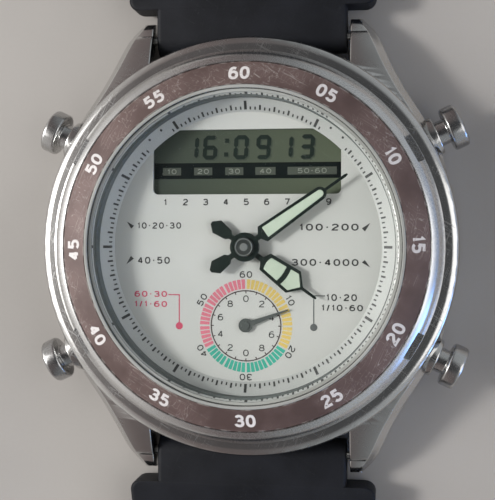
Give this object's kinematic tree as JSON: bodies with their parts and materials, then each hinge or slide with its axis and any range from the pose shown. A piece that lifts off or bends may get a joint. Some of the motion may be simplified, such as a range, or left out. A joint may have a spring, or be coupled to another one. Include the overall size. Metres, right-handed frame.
{
  "type": "wrist watch",
  "caption": "Round steel wrist watch with analogue hands, digital window, small dial, fixed bezel, side pushers and a soft strap with buckle, laid open.",
  "frame": {"origin": "middle of the caseback's flat underside, on the hands' axis", "axes": "+Z out of the dial, +Y towards twelve o'clock, +X towards three o'clock"},
  "size_m": [0.0438, 0.2401, 0.0108],
  "materials": {
    "case_steel": "satin",
    "polished_steel": "polished",
    "insert_print": "anodised, worn",
    "crystal_glass": "clear",
    "display_glass": "grey-green",
    "display_film": "satin",
    "dial_paint": "matt",
    "gasket_rubber": "matt",
    "module_plastic": "moulded",
    "board_laminate": "lacquered",
    "inner_steel": "bright",
    "copper_wire": "enamelled winding",
    "brass_parts": "bright",
    "hand_black": "gloss",
    "lume": "matt",
    "strap_resin": "matt"
  },
  "bodies": {
    "case": {"case_middle": "case_steel", "bezel": "polished_steel", "bezel_insert": "insert_print", "crystal": "crystal_glass", "crystal_gasket": "gasket_rubber", "caseback": "case_steel", "caseback_gasket": "gasket_rubber", "dial": "dial_paint", "lcd_film": "display_film", "lcd_front_glass": "display_glass", "lcd_rear_glass": "display_glass", "zebra_strips": "gasket_rubber", "module_housing": "module_plastic", "circuit_board": "board_laminate", "microchip": "module_plastic", "quartz_can": "inner_steel", "battery": "inner_steel", "battery_clip": "inner_steel", "back_plate": "inner_steel", "plate_screws": "inner_steel", "motor_coils": "copper_wire", "motor_irons": "inner_steel", "buzzer_disc": "brass_parts", "buzzer_spring": "inner_steel", "contact_springs": "inner_steel", "spring_bars": "inner_steel"},
    "minute_works": {"cannon_pinion": "brass_parts", "minute_hand": "hand_black", "minute_lume": "lume", "hand_cap": "hand_black"},
    "idler": {"minute_wheel": "brass_parts"},
    "hour_works": {"hour_wheel": "brass_parts", "hour_hand": "hand_black", "hour_lume": "lume"},
    "small_works": {"small_wheel": "brass_parts", "small_hand": "hand_black"},
    "strap_twelve": {"strap_upper": "strap_resin", "buckle_bar": "inner_steel"},
    "strap_six": {"strap_lower": "strap_resin"},
    "buckle": {"buckle_frame": "polished_steel"},
    "tongue": {"buckle_tongue": "polished_steel"},
    "keeper": {"keeper_loop": "strap_resin"},
    "pusher_two": {"pusher_at_two": "polished_steel", "pusher_seal_at_two": "gasket_rubber", "pusher_clip_at_two": "inner_steel"},
    "pusher_four": {"pusher_at_four": "polished_steel", "pusher_seal_at_four": "gasket_rubber", "pusher_clip_at_four": "inner_steel"},
    "pusher_eight": {"pusher_at_eight": "polished_steel", "pusher_seal_at_eight": "gasket_rubber", "pusher_clip_at_eight": "inner_steel"},
    "pusher_ten": {"pusher_at_ten": "polished_steel", "pusher_seal_at_ten": "gasket_rubber", "pusher_clip_at_ten": "inner_steel"}
  },
  "joints": [
    {"name": "minute_turn", "type": "hinge", "parent": "case", "child": "minute_works", "pos_m": [0, 0, 0.0081], "axis": [0, 0, -1], "continuous": true},
    {"name": "idler_turn", "type": "hinge", "parent": "case", "child": "idler", "pos_m": [0.003, 0, 0.006], "axis": [0, 0, -1], "continuous": true},
    {"name": "hour_turn", "type": "hinge", "parent": "case", "child": "hour_works", "pos_m": [0, 0, 0.00765], "axis": [0, 0, -1], "continuous": true},
    {"name": "small_hand_turn", "type": "hinge", "parent": "case", "child": "small_works", "pos_m": [0, -0.00773, 0.0073], "axis": [0, 0, -1], "continuous": true},
    {"name": "strap_twelve_hinge", "type": "hinge", "parent": "case", "child": "strap_twelve", "pos_m": [0, 0.0214, 0.0026], "axis": [1, 0, 0], "range_deg": [-75, 15]},
    {"name": "strap_six_hinge", "type": "hinge", "parent": "case", "child": "strap_six", "pos_m": [0, -0.0214, 0.0026], "axis": [1, 0, 0], "range_deg": [-15, 75]},
    {"name": "buckle_hinge", "type": "hinge", "parent": "strap_twelve", "child": "buckle", "pos_m": [0, 0.0934, 0.0025], "axis": [1, 0, 0], "range_deg": [-60, 45]},
    {"name": "tongue_hinge", "type": "hinge", "parent": "buckle", "child": "tongue", "pos_m": [0, 0.0934, 0.0025], "axis": [1, 0, 0], "range_deg": [0, 90]},
    {"name": "keeper_slide", "type": "slide", "parent": "strap_twelve", "child": "keeper", "axis": [0, 1, 0], "range_m": [-0.007, 0.005]},
    {"name": "pusher_two_press", "type": "slide", "parent": "case", "child": "pusher_two", "axis": [-0.9063, -0.4226, 0], "range_m": [0, 0.0009], "stiffness_N_per_m": 1500},
    {"name": "pusher_four_press", "type": "slide", "parent": "case", "child": "pusher_four", "axis": [-0.9063, 0.4226, 0], "range_m": [0, 0.0009], "stiffness_N_per_m": 1500},
    {"name": "pusher_eight_press", "type": "slide", "parent": "case", "child": "pusher_eight", "axis": [0.9063, 0.4226, 0], "range_m": [0, 0.0009], "stiffness_N_per_m": 1500},
    {"name": "pusher_ten_press", "type": "slide", "parent": "case", "child": "pusher_ten", "axis": [0.9063, -0.4226, 0], "range_m": [0, 0.0009], "stiffness_N_per_m": 1500}
  ],
  "couplings": [
    {"joint": "idler_turn", "follows": "minute_turn", "ratio": -0.33333},
    {"joint": "hour_turn", "follows": "minute_turn", "ratio": 0.083333}
  ]
}
